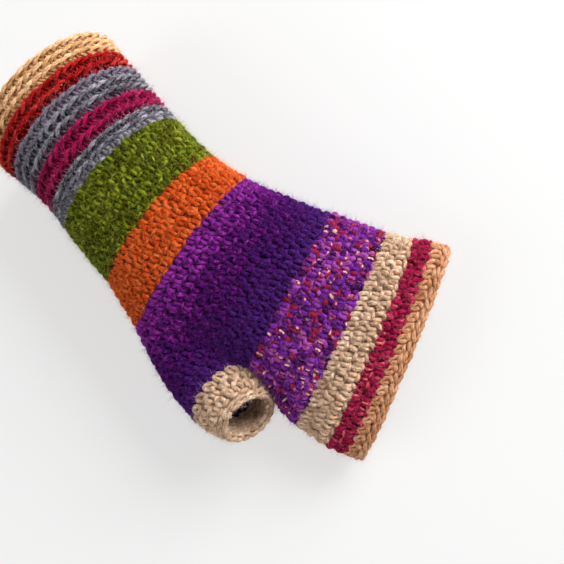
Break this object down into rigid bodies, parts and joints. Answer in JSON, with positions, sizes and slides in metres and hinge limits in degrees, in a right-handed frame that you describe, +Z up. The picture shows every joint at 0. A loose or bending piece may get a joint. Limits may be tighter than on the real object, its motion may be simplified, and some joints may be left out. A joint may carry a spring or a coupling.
{
  "type": "fingerless glove",
  "caption": "Crocheted wool fingerless mitt: striped ridged cuff, plain wrist and palm bands, open finger edge and a short tapered thumb ring.",
  "frame": {"origin": "bottom centre of the bounding box, on the surface that the mitt lies on", "axes": "+X along the mitt from wrist to fingers, +Z up through the upper face; the thumb ring is on the -Y side"},
  "size_m": [0.1954, 0.131, 0.0548],
  "materials": {
    "tan_wool": "soft crocheted wool yarn, matt with a slight halo",
    "red_wool": "soft crocheted wool yarn, matt with a slight halo",
    "grey_wool": "soft crocheted wool yarn, matt with a slight halo",
    "crimson_wool": "soft crocheted wool yarn, matt with a slight halo",
    "green_wool": "soft crocheted wool yarn, matt with a slight halo",
    "orange_wool": "soft crocheted wool yarn, matt with a slight halo",
    "purple_wool": "soft crocheted wool yarn, matt with a slight halo",
    "tweed_wool": "soft crocheted wool yarn, matt with a slight halo",
    "beige_wool": "soft crocheted wool yarn, matt with a slight halo",
    "peach_wool": "soft crocheted wool yarn, matt with a slight halo"
  },
  "bodies": {
    "hand": {"wrist_orange_band": "orange_wool", "gusset_purple_band": "purple_wool", "palm_tweed_band": "tweed_wool", "knuckle_beige_band": "beige_wool", "knuckle_crimson_band": "crimson_wool", "finger_edge_band": "peach_wool"},
    "cuff": {"cuff_tan_band": "tan_wool", "cuff_red_band": "red_wool", "cuff_grey_band": "grey_wool", "cuff_crimson_band": "crimson_wool", "cuff_upper_grey_band": "grey_wool", "wrist_green_band": "green_wool"},
    "thumb": {"thumb_beige_band": "beige_wool", "thumb_rim_round": "beige_wool"}
  },
  "joints": [
    {"name": "wrist_flex", "type": "hinge", "parent": "hand", "child": "cuff", "pos_m": [-0.01476, 0.00547, 0.03111], "axis": [0.3044, 0.9525, -0.0045], "range_deg": [-40, 50], "deforming": ["wrist_green_band", "wrist_orange_band"]},
    {"name": "thumb_swing", "type": "hinge", "parent": "hand", "child": "thumb", "pos_m": [0.03783, -0.04962, 0.02352], "axis": [-0.4342, 0.1327, 0.891], "range_deg": [-25, 5], "deforming": ["thumb_beige_band"]}
  ]
}
